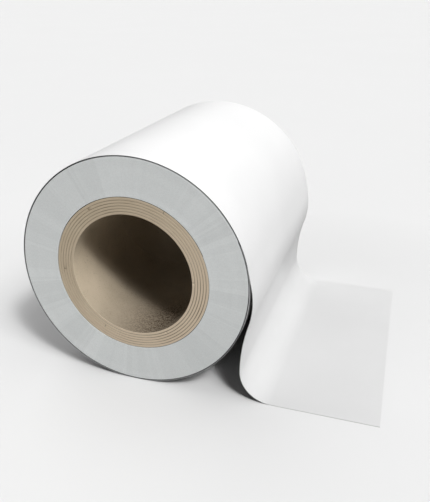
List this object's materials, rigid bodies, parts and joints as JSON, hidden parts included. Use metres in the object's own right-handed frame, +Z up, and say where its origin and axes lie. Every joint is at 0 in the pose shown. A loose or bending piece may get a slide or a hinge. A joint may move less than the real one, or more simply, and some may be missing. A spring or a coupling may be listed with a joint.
{
  "type": "sign vinyl roll",
  "caption": "Roll of white self-adhesive sign vinyl on a paperboard core, lying on its side with its free end run out flat.",
  "frame": {"origin": "on the table, under the middle of the whole object's box, free end included", "axes": "+X the way the free end runs out, Y along the core's axis, +Z up"},
  "size_m": [0.2216, 0.174, 0.1442],
  "materials": {
    "core_board": "matte spiral-wound paperboard, with the glue lines of its plies on the cut ends",
    "tape": "thin tape, slightly glossy",
    "wound_edges": "slit edges of film and liner, wound flush, matte",
    "vinyl_film": "smooth white film with a soft satin sheen",
    "liner_paper": "silicone-coated release paper, smooth and faintly glossy"
  },
  "bodies": {
    "outer_turn": {"outer_turn_film": "vinyl_film", "outer_turn_liner": "liner_paper", "falling_film": "vinyl_film", "falling_liner": "liner_paper"},
    "wound_roll": {"core_ply_1": "core_board", "core_ply_2": "core_board", "core_ply_3": "core_board", "core_ply_4": "core_board", "core_ply_5": "core_board", "core_ply_6": "core_board", "start_tape": "tape", "wound_turns": "wound_edges"},
    "free_end": {"flat_end_liner": "liner_paper", "flat_end_film": "vinyl_film"},
    "peel_edge": {"peel_edge_film": "vinyl_film"}
  },
  "joints": [
    {"name": "unwind", "type": "hinge", "parent": "outer_turn", "child": "wound_roll", "pos_m": [-0.03868, 0, 0.07198], "axis": [0, 1, 0], "continuous": true},
    {"name": "end_lift", "type": "hinge", "parent": "outer_turn", "child": "free_end", "pos_m": [0.04767, 0, 0.0003], "axis": [0, -1, 0], "range_deg": [0, 60]},
    {"name": "film_peel", "type": "hinge", "parent": "free_end", "child": "peel_edge", "pos_m": [0.08477, 0, 0.0003], "axis": [0, -1, 0], "range_deg": [0, 120]}
  ]
}
